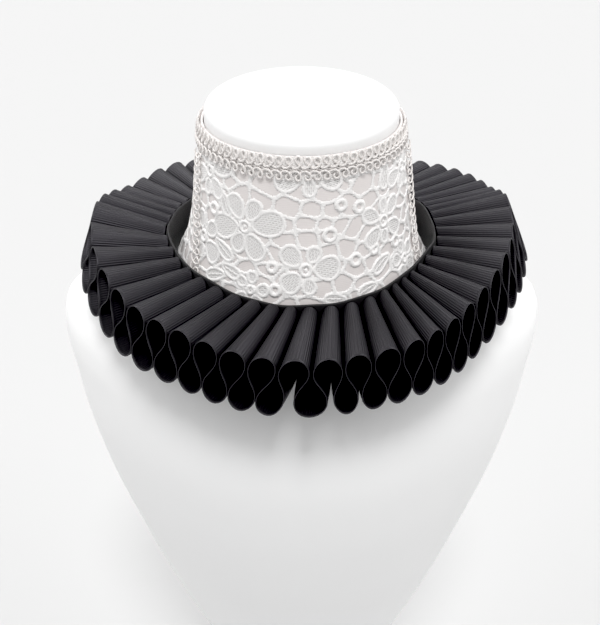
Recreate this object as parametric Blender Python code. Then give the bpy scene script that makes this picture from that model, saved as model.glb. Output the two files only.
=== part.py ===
"""Ruff collar on its display bust.

A black figure-of-eight ruff on a neck band stands round a high lace collar. The
collar is worn by a smooth limbless bust that rests on its own flat foot.
Metres, +Z up. The front of the collar faces -Y, and the foot stands on z = 0.
An azimuth is measured from the front, positive towards +X.
"""

from functools import partial

import bpy
import numpy as np

# Heights below are measured from the level of the ruff's upper rim.
RUFF_LEVEL = 0.440
SEAM_GAP = 0.0003
NUDGE = 0.0001

# Ruff: one ribbon set into flutes, each a figure of eight seen from the rim.
FLUTES = 49
STEPS_PER_FLUTE = 12
FLUTE_SPANS = 2
FRILL_WALL = 0.0010
FLUTE_CLEARANCE = 0.0005
LOOP_SWELL = 0.32
LOOP_ROUNDING = -0.07
FRONT_SLACK = 0.04
FRONT_SLACK_SPREAD = 22.0
RIM_TOP_RADIUS = 0.1174
RIM_BOTTOM_RADIUS = 0.1267
RIM_HEIGHT = 0.0277
RIM_TOP_SADDLE = 0.0107
RIM_BOTTOM_SADDLE = 0.0096
ROOT_TOP_RADIUS = 0.0768
ROOT_BOTTOM_RADIUS = 0.0820
ROOT_HEIGHT = 0.0275
ROOT_LEVEL = -0.0031
ROOT_SADDLE = 0.0050
ROOT_SWAY = 0.3

# Neck band: a folded strip inside the flutes' roots.
BAND_FLATTENING = 0.97
BAND_WALL = 0.0014
BAND_TOP_RADIUS = 0.0759
BAND_BOTTOM_RADIUS = 0.0805
BAND_HEIGHT = 0.0285
BAND_LEVEL = -0.0029
BAND_SADDLE = 0.0049
BAND_OPENING = 4.0
BAND_STEPS = 56

# Lace collar: three panels on one form, worn turned a little to its left.
COLLAR_WALL = 0.0016
COLLAR_TOP = 0.0655
COLLAR_HEM = -0.0155
COLLAR_TURN = 6.0
SEAM_TOP_AZIMUTH = 77.5
SEAM_HEM_AZIMUTH = 61.0
SEAM_CURVE = 1.6
COLLAR_ROWS = 6
FRONT_COLUMNS = 18
BACK_COLUMNS = 14
BACK_OPENING = 0.0010

# Gimp braids lie on the panels, just out of their facets' reach.
BRAID_LIFT = 0.00045
TOP_BRAID_WIDTH = 0.0125
TOP_BRAID_RISE = 0.0006
TOP_BRAID_WALL = 0.0016
TOP_BRAID_COLUMNS = 48
SIDE_BRAID_WIDTH = 0.0036
SIDE_BRAID_WALL = 0.0014
SIDE_BRAID_HEM = 0.0060
SIDE_BRAID_STEPS = 10

# Bust.
CAP_LEVEL = 0.0737
CAP_TILT = 2.5
CAP_EDGE = 0.0040
CAP_EDGE_RINGS = 5
BUST_SEGMENTS = 48
BUST_RING_STEP = 0.016

# One row for each stretch of flutes: the flute's number, counted from the
# centre back, the azimuth of its upper loop, how far the rim rises above or
# sinks below the saddle there, how far the lower loop sways round and flares
# out, and how far the root sits round from the rim.
FOLD_COLUMNS = ("flute", "azimuth", "rise", "sway", "flare", "skew")
FOLDS = (
    (0, -176.0, 0.0, 0.0, 0.0, 4.0),
    (5, -136.0, 0.0010, 3.0, 0.0010, 4.0),
    (8, -113.5, -0.0055, 4.0, 0.0040, 4.0),
    (10, -99.5, -0.0005, 4.0, 0.0020, 4.5),
    (11, -92.0, 0.0010, 3.0, 0.0010, 5.0),
    (12, -80.5, -0.0015, 1.5, 0.0, 4.5),
    (14, -60.5, -0.0025, 1.0, -0.0010, 1.0),
    (16, -44.5, -0.0020, 1.0, 0.0, 1.0),
    (18, -30.0, 0.0015, 1.0, 0.0, 3.5),
    (20, -16.0, 0.0010, -1.0, 0.0, 5.0),
    (22, -1.5, 0.0005, -2.0, 0.0, 4.5),
    (23, 6.0, 0.0005, 0.5, 0.0, 5.0),
    (24, 13.0, 0.0005, 0.0, 0.0, 6.0),
    (26, 28.0, -0.0020, -3.0, 0.0, 6.0),
    (28, 39.5, -0.0025, -3.0, 0.0, 5.5),
    (30, 51.0, 0.0005, -4.5, 0.0, 5.0),
    (32, 64.5, 0.0025, -5.0, 0.0, 5.0),
    (34, 79.5, 0.0010, -5.5, 0.0010, 5.0),
    (36, 94.0, 0.0045, -7.5, 0.0030, 5.0),
    (38, 104.5, 0.0, -4.0, 0.0025, 5.0),
    (40, 117.0, 0.0005, -3.5, 0.0010, 4.5),
    (43, 138.0, 0.0015, -2.5, 0.0, 4.0),
    (48, 176.0, 0.0, 0.0, 0.0, 4.0),
)

# One row for each level of the collar's outer face, from the hem up.
COLLAR_COLUMNS = ("height", "half_width", "front", "back")
COLLAR_SECTIONS = (
    (-0.0160, 0.0716, 0.0729, 0.0700),
    (-0.0120, 0.0697, 0.0723, 0.0685),
    (-0.0050, 0.0664, 0.0703, 0.0658),
    (0.0090, 0.0627, 0.0655, 0.0623),
    (0.0300, 0.0592, 0.0602, 0.0589),
    (0.0486, 0.0566, 0.0570, 0.0566),
    (0.0660, 0.0541, 0.0541, 0.0542),
)

# One row for each level of the bust, from the foot up. "ridge" is how far the
# widest line of that level lies behind the neck's axis.
BUST_COLUMNS = ("height", "half_width", "front", "back", "ridge")
BUST_SECTIONS = (
    (-0.4400, 0.0680, 0.0630, 0.0590, 0.0),
    (-0.4370, 0.0690, 0.0640, 0.0600, 0.0),
    (-0.4310, 0.0640, 0.0590, 0.0540, 0.0),
    (-0.4190, 0.0530, 0.0490, 0.0430, 0.0),
    (-0.4000, 0.0485, 0.0450, 0.0370, 0.0),
    (-0.3750, 0.0540, 0.0490, 0.0370, 0.0010),
    (-0.3450, 0.0655, 0.0570, 0.0400, 0.0020),
    (-0.3150, 0.0782, 0.0660, 0.0440, 0.0040),
    (-0.2500, 0.1027, 0.0820, 0.0570, 0.0080),
    (-0.2060, 0.1160, 0.0925, 0.0650, 0.0100),
    (-0.1500, 0.1322, 0.1020, 0.0720, 0.0140),
    (-0.1070, 0.1413, 0.1030, 0.0750, 0.0180),
    (-0.0850, 0.1445, 0.0990, 0.0750, 0.0200),
    (-0.0660, 0.1467, 0.0920, 0.0740, 0.0200),
    (-0.0540, 0.1447, 0.0850, 0.0725, 0.0200),
    (-0.0470, 0.1375, 0.0790, 0.0710, 0.0200),
    (-0.0420, 0.1280, 0.0750, 0.0700, 0.0190),
    (-0.0380, 0.1120, 0.0720, 0.0690, 0.0170),
    (-0.0355, 0.0960, 0.0700, 0.0680, 0.0140),
    (-0.0330, 0.0800, 0.0685, 0.0670, 0.0100),
    (-0.0290, 0.0710, 0.0665, 0.0655, 0.0060),
    (-0.0150, 0.0650, 0.0640, 0.0630, 0.0030),
    (0.0, 0.0600, 0.0610, 0.0595, 0.0),
    (0.0200, 0.0560, 0.0565, 0.0558, 0.0),
    (0.0450, 0.0533, 0.0533, 0.0533, 0.0),
    (0.0640, 0.0520, 0.0520, 0.0521, 0.0),
)


def column(rows, columns, name):
    """One named column of a table, as an array."""
    return np.array([row[columns.index(name)] for row in rows], float)


def smooth(knots, values, where):
    """A smooth curve through (knots, values), read at each place in where."""
    slopes = np.gradient(values, knots)
    cell = np.clip(np.searchsorted(knots, where) - 1, 0, len(knots) - 2)
    width = knots[cell + 1] - knots[cell]
    part = (where - knots[cell]) / width
    back = 1 - part
    start = back * back * (1 + 2 * part) * values[cell]
    start = start + back * back * part * width * slopes[cell]
    end = part * part * (1 + 2 * back) * values[cell + 1]
    return start + end - part * part * back * width * slopes[cell + 1]


def around(name, flute, turn=0.0):
    """A column of FOLDS at any flute number, all the way round the ruff."""
    knots = column(FOLDS, FOLD_COLUMNS, "flute")
    values = column(FOLDS, FOLD_COLUMNS, name)
    knots = np.concatenate([knots - FLUTES, knots, knots + FLUTES])
    values = np.concatenate([values - turn, values, values + turn])
    return smooth(knots, values, flute)


def level(rows, columns, height):
    """Every column but the first of a table of levels, at these heights."""
    knots = column(rows, columns, columns[0])
    return [smooth(knots, column(rows, columns, name), height) for name in columns[1:]]


def on_ring(radius, azimuth, height, flattening=1.0):
    """Points at these azimuths in degrees, on a ring that may be flattened."""
    turn = np.radians(azimuth)
    x = radius * np.sin(turn)
    y = -flattening * radius * np.cos(turn)
    return np.stack([x, y, RUFF_LEVEL + height + 0 * x], axis=-1)


def loop_swell(flute, azimuth, lower):
    """How far a loop swells past its own half pitch, as a part of the pitch."""
    degrees = around("azimuth", flute + 0.5, 360.0) - around("azimuth", flute - 0.5, 360.0)
    pitch = ROOT_TOP_RADIUS * np.radians(degrees)
    tightest = 0.375 - (FRILL_WALL + FLUTE_CLEARANCE) / (2 * pitch)
    slack = FRONT_SLACK * lower * np.exp(-((azimuth / FRONT_SLACK_SPREAD) ** 2))
    return np.minimum(LOOP_SWELL, tightest) - slack


def frill_point(flute, reach):
    """The ruff's ribbon: flute counts along it, reach runs from root 0 to rim 1."""
    phase = 2 * np.pi * flute
    eight = np.cos(phase) * (1 + LOOP_ROUNDING) - LOOP_ROUNDING * np.cos(3 * phase)
    lower = (1 - eight) / 2
    nominal = around("azimuth", flute, 360.0)
    swell = loop_swell(flute, nominal, lower)
    azimuth = around("azimuth", flute + swell * np.sin(2 * phase), 360.0)
    saddle = np.cos(np.radians(2 * azimuth))
    sway = around("sway", flute) * lower
    flare = RIM_BOTTOM_RADIUS - RIM_TOP_RADIUS + around("flare", flute)
    rim_radius = RIM_TOP_RADIUS + flare * lower
    rim_height = around("rise", flute) - RIM_HEIGHT * lower
    rim_height = rim_height - saddle * (RIM_TOP_SADDLE * (1 - lower) + RIM_BOTTOM_SADDLE * lower)
    rim = on_ring(rim_radius, azimuth + sway, rim_height)
    root_radius = ROOT_TOP_RADIUS + (ROOT_BOTTOM_RADIUS - ROOT_TOP_RADIUS) * lower
    root_height = ROOT_LEVEL - ROOT_SADDLE * saddle - ROOT_HEIGHT * lower
    root_azimuth = azimuth + around("skew", flute) + ROOT_SWAY * sway
    root = on_ring(root_radius, root_azimuth, root_height, BAND_FLATTENING)
    return root + (rim - root) * reach[..., None]


def collar_point(azimuth, height):
    """The collar's outer face at this azimuth and height."""
    half_width, front, back = level(COLLAR_SECTIONS, COLLAR_COLUMNS, height)
    turn = np.radians(azimuth)
    x = half_width * np.sin(turn)
    y = -np.where(np.cos(turn) > 0, front, back) * np.cos(turn)
    return np.stack([x, y, RUFF_LEVEL + height + 0 * x], axis=-1)


def grid(rows, columns):
    """Two arrays that pair every value of rows with every value of columns."""
    return np.meshgrid(np.asarray(rows, float), np.asarray(columns, float), indexing="ij")


def moved_out(surface, across, along, distance):
    """Points of a surface moved this far along its normals."""
    one_way = surface(across + NUDGE, along) - surface(across - NUDGE, along)
    other_way = surface(across, along + NUDGE) - surface(across, along - NUDGE)
    normal = np.cross(one_way, other_way)
    normal = normal / np.linalg.norm(normal, axis=-1, keepdims=True)
    return surface(across, along) + normal * distance


def material(name, color, roughness):
    """A plain material of this colour and roughness."""
    made = bpy.data.materials.new(name)
    made.use_nodes = True
    shader = made.node_tree.nodes["Principled BSDF"]
    shader.inputs["Base Color"].default_value = (*color, 1.0)
    shader.inputs["Roughness"].default_value = roughness
    shader.inputs["Metallic"].default_value = 0.0
    return made


def add_object(name, vertices, faces, finish):
    """An object of this name from points and faces."""
    mesh = bpy.data.meshes.new(name)
    mesh.from_pydata(vertices.tolist(), [], faces)
    mesh.materials.append(finish)
    mesh.shade_smooth()
    mesh.set_sharp_from_angle(angle=np.radians(50))
    obj = bpy.data.objects.new(name, mesh)
    bpy.context.scene.collection.objects.link(obj)
    return obj


def add_wall(name, outer, inner, finish):
    """A closed wall between two grids of points that lie one behind the other."""
    rows, columns = outer.shape[:2]
    vertices = np.concatenate([outer.reshape(-1, 3), inner.reshape(-1, 3)])
    index = np.arange(rows * columns).reshape(rows, columns)
    behind = index + rows * columns
    faces = []
    for i in range(rows - 1):
        for j in range(columns - 1):
            faces.append((index[i, j], index[i + 1, j], index[i + 1, j + 1], index[i, j + 1]))
            faces.append((behind[i, j], behind[i, j + 1], behind[i + 1, j + 1], behind[i + 1, j]))
    edge = [*index[0, :], *index[1:, -1], *index[-1, -2::-1], *index[-2:0:-1, 0]]
    shift = rows * columns
    for here, after in zip(edge, edge[1:] + edge[:1]):
        faces.append((here, after, after + shift, here + shift))
    faces = [tuple(int(corner) for corner in face) for face in faces]
    return add_object(name, vertices, faces, finish)


def add_frill(finish):
    """The pleated ribbon, open at the centre back."""
    steps = np.arange(FLUTES * STEPS_PER_FLUTE) + 0.5
    flute, reach = grid(steps / STEPS_PER_FLUTE - 0.5, np.linspace(0, 1, FLUTE_SPANS + 1))
    outer = moved_out(frill_point, flute, reach, FRILL_WALL / 2)
    inner = moved_out(frill_point, flute, reach, -FRILL_WALL / 2)
    return add_wall("ruff_frill", outer, inner, finish)


def band_face(radius_in):
    """One face of the neck band, this far in from its outer face."""
    turns = np.linspace(180 - BAND_OPENING / 2, BAND_OPENING / 2 - 180, BAND_STEPS + 1)
    azimuth, down = grid(turns, (0.0, 0.5, 1.0))
    radius = BAND_TOP_RADIUS + (BAND_BOTTOM_RADIUS - BAND_TOP_RADIUS) * down - radius_in
    height = BAND_LEVEL - BAND_SADDLE * np.cos(np.radians(2 * azimuth)) - BAND_HEIGHT * down
    return on_ring(radius, azimuth, height, BAND_FLATTENING)


def add_band(finish):
    """The folded strip that the flutes' roots are sewn to."""
    return add_wall("ruff_band", band_face(0.0), band_face(BAND_WALL), finish)


def add_on_collar(name, azimuth, height, lift, wall, finish):
    """A wall of this thickness whose inner face is lifted this far off the collar."""
    outer = moved_out(collar_point, azimuth, height, lift + wall)
    inner = moved_out(collar_point, azimuth, height, lift)
    return add_wall(name, outer, inner, finish)


def seam_azimuth(side, height):
    """Where a side seam lies: both seams swing forward towards the hem."""
    fall = (COLLAR_TOP - height) / (COLLAR_TOP - COLLAR_HEM)
    swing = (SEAM_TOP_AZIMUTH - SEAM_HEM_AZIMUTH) * fall**SEAM_CURVE
    return COLLAR_TURN + side * (SEAM_TOP_AZIMUTH - swing)


def centre_back(side, height):
    """Where the back edges meet, reached by way of this side."""
    return COLLAR_TURN + side * 180.0 + 0 * height


def spread(start, end, gap, heights, columns):
    """Azimuths and heights of a panel between two edges, short of each by half the gap."""
    part, height = grid(np.linspace(0, 1, columns + 1), heights)
    trim = np.degrees(gap / 2 / level(COLLAR_SECTIONS, COLLAR_COLUMNS, height)[0])
    first = start(height) - trim
    last = end(height) + trim
    return first + (last - first) * part, height


def add_panel(name, start, end, columns, finish):
    """One panel of the collar, from its right edge round to its left one."""
    heights = np.linspace(COLLAR_TOP, COLLAR_HEM, COLLAR_ROWS + 1)
    azimuth, height = spread(start, end, SEAM_GAP, heights, columns)
    return add_on_collar(name, azimuth, height, -COLLAR_WALL, COLLAR_WALL, finish)


def add_top_braid(right, left, finish):
    """The gimp braid on the top edge, open at the centre back."""
    top = COLLAR_TOP + TOP_BRAID_RISE
    heights = np.linspace(top, top - TOP_BRAID_WIDTH, 3)
    azimuth, height = spread(right, left, BACK_OPENING, heights, TOP_BRAID_COLUMNS)
    return add_on_collar("top_braid", azimuth, height, BRAID_LIFT, TOP_BRAID_WALL, finish)


def add_side_braid(name, seam, finish):
    """The narrow gimp braid over a side seam, from the top braid to the hem."""
    top = COLLAR_TOP + TOP_BRAID_RISE - TOP_BRAID_WIDTH - SEAM_GAP
    heights = np.linspace(top, COLLAR_HEM + SIDE_BRAID_HEM, SIDE_BRAID_STEPS + 1)
    across, height = grid((1.0, 0.0, -1.0), heights)
    half = np.degrees(SIDE_BRAID_WIDTH / 2 / level(COLLAR_SECTIONS, COLLAR_COLUMNS, height)[0])
    azimuth = seam(height) + across * half
    return add_on_collar(name, azimuth, height, BRAID_LIFT, SIDE_BRAID_WALL, finish)


def bust_ring(height):
    """One level of the bust, all round from the front by way of +X."""
    half_width, front, back, ridge = level(BUST_SECTIONS, BUST_COLUMNS, np.array([height]))
    turn = np.linspace(0, 2 * np.pi, BUST_SEGMENTS, endpoint=False)
    reach = np.where(np.cos(turn) > 0, front + ridge, back - ridge)
    x = half_width * np.sin(turn)
    return np.stack([x, ridge - reach * np.cos(turn), RUFF_LEVEL + height + 0 * x], axis=-1)


def cap_rings(neck):
    """The rounded edge of the neck's cap, which leans a little to the front."""
    lean = np.radians(CAP_TILT)
    rings = []
    for turn in np.linspace(0, np.pi / 2, CAP_EDGE_RINGS + 1)[1:]:
        inset = CAP_EDGE * (1 - np.cos(turn))
        drop = CAP_EDGE * (1 - np.sin(turn))
        ring = neck.copy()
        shrink = 1 - inset / np.abs(neck[:, 0]).max()
        ring[:, :2] = neck[:, :2] * shrink
        ring[:, 2] = RUFF_LEVEL + CAP_LEVEL - drop + np.tan(lean) * ring[:, 1]
        rings.append(ring)
    return rings


def add_bust(finish):
    """The limbless stand: foot, waist, chest, shoulders, neck and cap."""
    heights = column(BUST_SECTIONS, BUST_COLUMNS, "height")
    levels = [heights[0]]
    for start, end in zip(heights, heights[1:]):
        steps = max(1, int(round((end - start) / BUST_RING_STEP)))
        levels.extend(np.linspace(start, end, steps + 1)[1:])
    rings = [bust_ring(height) for height in levels]
    rings.extend(cap_rings(rings[-1]))
    vertices = np.concatenate(rings)
    faces = []
    for ring in range(len(rings) - 1):
        for here in range(BUST_SEGMENTS):
            after = (here + 1) % BUST_SEGMENTS
            below = ring * BUST_SEGMENTS
            above = below + BUST_SEGMENTS
            faces.append((below + here, below + after, above + after, above + here))
    faces.append(tuple(range(BUST_SEGMENTS - 1, -1, -1)))
    last = (len(rings) - 1) * BUST_SEGMENTS
    faces.append(tuple(range(last, last + BUST_SEGMENTS)))
    return add_object("bust", vertices, faces, finish)


def main():
    for obj in list(bpy.data.objects):
        bpy.data.objects.remove(obj)
    ribbon = material("black_grosgrain", (0.012, 0.012, 0.014), 0.6)
    band = material("black_satin_ribbon", (0.014, 0.014, 0.014), 0.5)
    lace = material("white_lace", (0.80, 0.77, 0.75), 0.75)
    gimp = material("cream_gimp", (0.85, 0.80, 0.76), 0.6)
    stand = material("white_stand", (0.86, 0.86, 0.86), 0.5)
    right_seam = partial(seam_azimuth, 1)
    left_seam = partial(seam_azimuth, -1)
    right_back = partial(centre_back, 1)
    left_back = partial(centre_back, -1)
    add_frill(ribbon)
    add_band(band)
    add_panel("collar_front", right_seam, left_seam, FRONT_COLUMNS, lace)
    add_panel("collar_back_right", right_back, right_seam, BACK_COLUMNS, lace)
    add_panel("collar_back_left", left_seam, left_back, BACK_COLUMNS, lace)
    add_top_braid(right_back, left_back, gimp)
    add_side_braid("side_braid_left", left_seam, gimp)
    add_side_braid("side_braid_right", right_seam, gimp)
    add_bust(stand)


main()
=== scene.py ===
"""Looks of the ruff collar and of the display bust that wears it.

Metres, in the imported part's frame: +Z up, the front towards -Y. Every cloth piece
is a thin shell on the form of its plain solid, and all of them ride on "root".
An azimuth is measured in degrees from the front, positive towards +X.
"""

from functools import partial

import bpy
import numpy as np
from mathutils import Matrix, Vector


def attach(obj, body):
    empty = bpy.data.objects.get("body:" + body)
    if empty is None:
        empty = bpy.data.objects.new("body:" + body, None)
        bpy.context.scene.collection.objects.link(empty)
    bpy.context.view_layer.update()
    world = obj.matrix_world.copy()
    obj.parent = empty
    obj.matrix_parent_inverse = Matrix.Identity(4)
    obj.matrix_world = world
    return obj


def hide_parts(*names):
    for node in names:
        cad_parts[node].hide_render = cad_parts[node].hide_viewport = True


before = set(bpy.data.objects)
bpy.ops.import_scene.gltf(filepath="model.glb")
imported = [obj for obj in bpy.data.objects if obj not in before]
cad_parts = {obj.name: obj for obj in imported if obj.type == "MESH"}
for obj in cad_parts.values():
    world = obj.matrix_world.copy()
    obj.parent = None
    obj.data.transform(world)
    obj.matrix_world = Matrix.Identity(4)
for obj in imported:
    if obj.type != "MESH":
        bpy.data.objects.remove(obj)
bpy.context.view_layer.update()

# Heights below are measured from the level of the ruff's upper rim.
RUFF_LEVEL = 0.440
NUDGE = 0.0001

# Camera, at the height and tilt of the photograph's.
CAMERA_PLACE = (-0.00086, -0.45473, 0.68187)
CAMERA_PITCH = 56.357
CAMERA_LENS = 51.46
SENSOR = 36.0
CLIP_START = 0.01

# Stage: an even white sky, seen as pale as the floor, and the view's black level.
FLOOR_HALF = 80.0
SKY_LIGHT = 0.26
BACKDROP = 0.93
BLACK_LEVEL = 0.012

# One row for each soft light: where it comes from, its spread in degrees, its strength.
LIGHTS = (
    ("front", (0.05, -0.6, 1.35), 16.0, 1.64),
    ("behind", (0.0, 1.0, 0.7), 24.0, 0.50),
    ("left", (-1.0, -0.2, 0.9), 40.0, 0.66),
    ("right", (1.0, -0.2, 0.9), 40.0, 0.72),
    ("behind_left", (-0.8, 0.7, 1.0), 24.0, 1.16),
    ("behind_right", (0.8, 0.7, 1.0), 24.0, 1.03),
)

# Ruff: one ribbon set into flutes, each a figure of eight seen from the rim.
FLUTES = 49
ROOT_SWELL = 0.30
RIM_SWELL = 0.31
LOOP_ROUNDING = -0.07
# A loop that swells this part of the pitch reaches half way to its neighbour.
MEETING_SWELL = 0.366
# Neighbouring loops press together by this much, so that no light comes between.
LOOP_PRESS = 0.00009
LOOP_BLEND = (0.25, 0.75)
WEDGE_EDGE = (0.42, 0.58)
RIM_TOP_RADIUS = 0.1174
RIM_BOTTOM_RADIUS = 0.1267
RIM_HEIGHT = 0.0277
RIM_TOP_SADDLE = 0.0107
RIM_BOTTOM_SADDLE = 0.0096
ROOT_TOP_RADIUS = 0.0764
ROOT_BOTTOM_RADIUS = 0.0813
ROOT_HEIGHT = 0.0268
ROOT_LEVEL = -0.0031
ROOT_SADDLE = 0.0050
ROOT_SWAY = 0.3

# Its ribbon: a firm selvedge along each edge, ribs across, and rows of points.
RIBBON_WIDTH = 0.045
RIBBON_WALL = 0.00055
SELVEDGE_WIDTH = 0.0011
SELVEDGE_WALL = 0.00085
SELVEDGE_REACH = (0.92, 0.96)
SELVEDGE_ROWS = (0.0, 0.2, 0.6, 1.0, 1.4)
SELVEDGE_BLEND = (0.8, 1.2)
EDGE_ROUNDING = 0.15
RIB_PITCH = 0.00112
CLOTH_STEPS = 44
CLOTH_ROWS = 11
CLOTH_ENDS = (0.06, 0.94)

# Neck band: a smooth ribbon folded over, standing inside the flutes' roots.
BAND_TOP_RADIUS = 0.0759
BAND_BOTTOM_RADIUS = 0.0805
BAND_HEIGHT = 0.0285
BAND_LEVEL = -0.0029
BAND_SADDLE = 0.0049
BAND_WALL = 0.0014
BAND_OPENING = 4.0
BAND_FLATTENING = 0.97
BAND_STEPS = 240
BAND_ROWS = 12
BAND_FOLD_STEPS = 6

# The band's top edge wanders: one row for each wave in and out, and for each
# wave up and down, with its height, how often it comes round and its start.
BAND_BENDS = ((0.00040, 5, 35), (0.00024, 8, -70))
BAND_RIPPLES = ((0.0004, 7, 0), (0.0003, 17, 40))
# The share of that and of the creases that is gone at the band's lower edge.
BEND_FALL = 0.6

# One row for each crease: its azimuth, half width in degrees and depth outward.
BAND_CREASES = (
    (-155, 8, -0.0004),
    (-129, 9, 0.0007),
    (-103, 7, -0.0005),
    (-84, 7, 0.0009),
    (-68, 6, -0.0007),
    (59, 7, -0.0005),
    (75, 6, 0.0008),
    (93, 8, -0.0007),
    (124, 9, 0.0006),
    (151, 8, -0.0004),
)

# Lace collar: three panels on one form, worn turned a little to its left.
COLLAR_TOP = 0.0655
COLLAR_HEM = -0.0155
COLLAR_TURN = 6.0
COLLAR_MEAN_RADIUS = 0.061
PUCKER_TOP = 0.012
PUCKER_DEPTH = 0.0007
PUCKERS = ((0.29, 21, 20), (0.203, 34, -60))
SEAM_TOP_AZIMUTH = 77.5
SEAM_HEM_AZIMUTH = 61.0
SEAM_CURVE = 1.6
SEAM_GAP = 0.0003
SATIN_SINK = 0.0005
SATIN_WALL = 0.0005
SATIN_TURNING = 0.0008
TURNING_ENDS = (0.0040, 0.0015)
SATIN_STEP = 0.0022
SATIN_THREAD = 0.0009

# Lace: corded flowers, leaves and eyelets on a net of knotted bars.
LACE_CELL = 0.00035
LACE_LEVEL = 0.02
CORD_HALF = 0.00100
CORD_RISE = 0.00062
BAR_HALF = 0.00086
BAR_RISE = 0.00045
FILL_RISE = 0.00032
KNOT_PITCH = 0.00105
KNOT_SWELL = 0.00075
KNOT_RISE = 0.00016
KNOT_SCATTER = 0.3
KNOT_SPREAD = 0.45
FILL_SMOOTHING = 0.6
NET_WIDE = 0.0104
NET_TALL = 0.0078
NET_STRETCH = 1.3
NET_JITTER = 0.36
NET_ROUNDING = 0.00065
NET_SEED = 7
NET_NEIGHBOURS = 6
NET_BATCH = 20000
OPENING_SHARE = 0.75
RING_SHARE = 0.17
RING_LARGEST = 0.0027
RING_HALF = 0.00110
RING_RISE = 0.00095
EYE_SHARE = 0.40
EYELET_HALF = 0.00125
PETAL_START = 0.55
PETAL_SQUASH = 0.20
PETAL_UNEVEN = 0.10
PETAL_SWING = 7.0
PETAL_SWELL = 0.22
LEAF_SWELL = -0.25
LEAF_BEND = 0.09
VEIN_HALF = 0.6
VEIN_RISE = 0.9
VEIN_LENGTH = 0.4
OVAL_LIMITS = (0.35, 1.5)
EDGE_CORD = 0.0012
TAPE_INSET = 0.0016
TAPE_RISE = 0.00048
LACE_FALL = 0.00045
# Open darning inside the petals: the gaps between its stitches are painted darker, as the satin's
# colour in painted shade.
DARN_PITCH = 0.00095
DARN_LENGTH = 0.00300
DARN_SHIFT = 0.53
DARN_CONTRAST = (2.4, -0.95)

# Gimp braid: cords that loop along the collar's top edge and down its seams.
BRAID_TOP = 0.0661
BRAID_WIDTH = 0.0125
BRAID_SPINE = 0.0067
BRAID_PITCH = 0.00465
BRAID_PART = 0.00070
BRAID_OPENING = 0.0010
UPPER_SCALE = (1.08, 1.22)
LOWER_SCALE = (0.98, 1.0)
CURL_UNEVEN = 0.07
CORD_RADIUS = 0.00060
CORD_REST = 0.00085
CORD_SIDES = 8
CORD_STEPS = 32
TWIST_PITCH = 0.0016
STITCH_RADIUS = 0.00028
STITCH_SWAY = 0.00030
STITCH_RISE = 0.00012
STITCH_REST = 0.0007
STITCH_STEPS = 12
SIDE_PITCH = 0.0046
SIDE_SCALE = (0.98, 1.22)
SIDE_LIFT = 0.20
SIDE_RADIUS = 0.00048
SIDE_HEM = 0.0060

# One curl of the gimp's cord: millimetres along, up from the spine, and out.
CURL = (
    (-2.30, 0.10, 0.05),
    (-1.10, 0.05, 0.25),
    (0.15, 0.55, 0.40),
    (1.10, 1.55, 0.45),
    (1.50, 2.75, 0.35),
    (1.25, 3.80, 0.15),
    (0.35, 4.45, -0.05),
    (-0.70, 4.25, -0.20),
    (-1.30, 3.35, -0.35),
    (-1.05, 2.30, -0.45),
    (-0.10, 1.60, -0.50),
    (1.20, 0.85, -0.30),
)

# Finishes: how glossy each is, how high its relief stands, and its lumps a metre.
RIBBON_GLOSS = 0.58
RIBBON_RELIEF = 0.00014
WEAVE_RELIEF = 0.25
BAND_GLOSS = 0.3
BAND_RELIEF = 0.00006
BAND_GRAIN = 1500.0
SATIN_RELIEF = 0.000022
LACE_RELIEF = 0.00022
FIBRE_RELIEF = 0.8
FIBRE_GRAIN = 2600.0
GIMP_RELIEF = 0.00007
GIMP_STRANDS = 2.0
BUST_RELIEF = 0.00002
BUST_GRAIN = 900.0
BUST_BLOTCHES = 14.0
FLOOR_GLOSS = 0.1

# Bust.
CAP_LEVEL = 0.0737
CAP_TILT = 2.5
CAP_EDGE = 0.0040
CAP_EDGE_STEPS = 9
CAP_SHARES = (0.97, 0.9, 0.7, 0.4)
FOOT_SHARP = 60.0
BUST_SEGMENTS = 144
BUST_RING_STEP = 0.0035

# One row for each stretch of flutes: the flute's number, counted from the
# centre back, the azimuth of its upper loop, how far the rim rises above or
# sinks below the saddle there, how far the lower loop sways round and flares
# out, and how far the root sits round from the rim.
FOLD_COLUMNS = ("flute", "azimuth", "rise", "sway", "flare", "skew")
FOLDS = (
    (0, -176.0, 0.0, 0.0, 0.0, 4.0),
    (5, -136.0, 0.0010, 3.0, 0.0010, 4.0),
    (8, -113.5, -0.0055, 4.0, 0.0040, 4.0),
    (10, -99.5, -0.0005, 4.0, 0.0020, 4.5),
    (11, -92.0, 0.0010, 3.0, 0.0010, 5.0),
    (12, -80.5, -0.0015, 1.5, 0.0, 4.5),
    (14, -60.5, -0.0025, 1.0, -0.0010, 1.0),
    (16, -44.5, -0.0020, 1.0, 0.0, 1.0),
    (18, -30.0, 0.0015, 1.0, 0.0, 3.5),
    (20, -16.0, 0.0010, -1.0, 0.0, 5.0),
    (22, -1.5, 0.0005, -2.0, 0.0, 4.5),
    (23, 6.0, 0.0005, 0.5, 0.0, 5.0),
    (24, 13.0, 0.0005, 0.0, 0.0, 6.0),
    (26, 28.0, -0.0020, -3.0, 0.0, 6.0),
    (28, 39.5, -0.0025, -3.0, 0.0, 5.5),
    (30, 51.0, 0.0005, -4.5, 0.0, 5.0),
    (32, 64.5, 0.0025, -5.0, 0.0, 5.0),
    (34, 79.5, 0.0010, -5.5, 0.0010, 5.0),
    (36, 94.0, 0.0045, -7.5, 0.0030, 5.0),
    (38, 104.5, 0.0, -4.0, 0.0025, 5.0),
    (40, 117.0, 0.0005, -3.5, 0.0010, 4.5),
    (43, 138.0, 0.0015, -2.5, 0.0, 4.0),
    (48, 176.0, 0.0, 0.0, 0.0, 4.0),
)

# One row for each flute whose mouth stays open between the lower loops: its
# number, how wide it opens as a part of the pitch, and how far out it starts.
WEDGES = (
    (22, 0.125, 0.60),
    (23, 0.080, 0.70),
    (24, 0.060, 0.86),
)

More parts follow.
